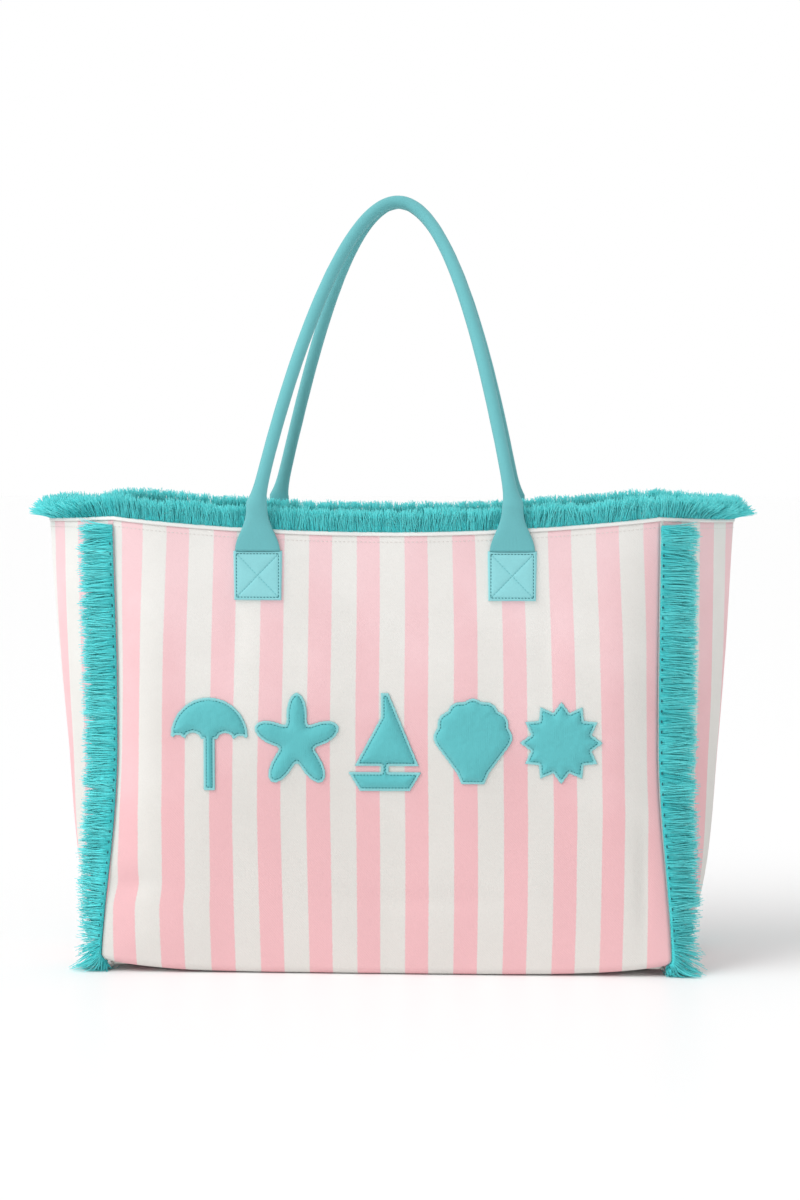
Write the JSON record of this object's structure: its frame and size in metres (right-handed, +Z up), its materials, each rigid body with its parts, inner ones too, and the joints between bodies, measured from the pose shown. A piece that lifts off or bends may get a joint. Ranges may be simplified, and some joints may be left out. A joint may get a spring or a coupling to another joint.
{
  "type": "beach bag",
  "caption": "Open canvas tote with vertical stripes, fringed rim and side seams, two rolled rope handles and padded patches on the front.",
  "frame": {"origin": "on the floor, under the middle of the bag", "axes": "+Z up along the handles, +X to the right when looking at the front, front facing -Y"},
  "size_m": [0.5804, 0.1962, 0.6233],
  "materials": {
    "striped_canvas": "plain-weave cotton canvas with pink and white stripes",
    "lining_cloth": "thin plain cotton",
    "base_board": "grey-brown stiff board",
    "rim_tape": "woven white tape",
    "fringe": "cut cotton fringe, turquoise",
    "handle_cloth": "soft twill, turquoise",
    "backing_cloth": "plain cotton",
    "thread": "sewing thread, dark turquoise",
    "rope": "twisted cotton rope",
    "patch_cloth": "brushed cloth, turquoise",
    "padding": "soft wadding"
  },
  "bodies": {
    "bag": {"front_panel": "striped_canvas", "back_panel": "striped_canvas", "left_side_panel": "striped_canvas", "right_side_panel": "striped_canvas", "bottom_panel": "striped_canvas", "front_lining": "lining_cloth", "back_lining": "lining_cloth", "left_lining": "lining_cloth", "right_lining": "lining_cloth", "bottom_lining": "lining_cloth", "base_board": "base_board", "rim_binding": "rim_tape", "front_rim_fringe": "fringe", "back_rim_fringe": "fringe", "left_rim_fringe": "fringe", "right_rim_fringe": "fringe", "front_left_seam_fringe": "fringe", "front_right_seam_fringe": "fringe", "back_left_seam_fringe": "fringe", "back_right_seam_fringe": "fringe", "front_left_tab": "handle_cloth", "front_right_tab": "handle_cloth", "rear_left_tab": "handle_cloth", "rear_right_tab": "handle_cloth", "front_left_backing": "backing_cloth", "front_right_backing": "backing_cloth", "rear_left_backing": "backing_cloth", "rear_right_backing": "backing_cloth", "tab_stitching": "thread", "umbrella_patch": "patch_cloth", "starfish_patch": "patch_cloth", "sailboat_patch": "patch_cloth", "shell_patch": "patch_cloth", "sun_patch": "patch_cloth", "umbrella_pad": "padding", "starfish_pad": "padding", "sailboat_pad": "padding", "shell_pad": "padding", "sun_pad": "padding"},
    "front_handle": {"front_handle_sleeve": "handle_cloth", "front_handle_rope": "rope"},
    "rear_handle": {"rear_handle_sleeve": "handle_cloth", "rear_handle_rope": "rope"}
  },
  "joints": [
    {"name": "front_handle_fold", "type": "hinge", "parent": "bag", "child": "front_handle", "pos_m": [0, -0.09006, 0.3395], "axis": [1, 0, 0], "range_deg": [0, 165]},
    {"name": "rear_handle_fold", "type": "hinge", "parent": "bag", "child": "rear_handle", "pos_m": [0, 0.09006, 0.3395], "axis": [-1, 0, 0], "range_deg": [0, 165]}
  ]
}
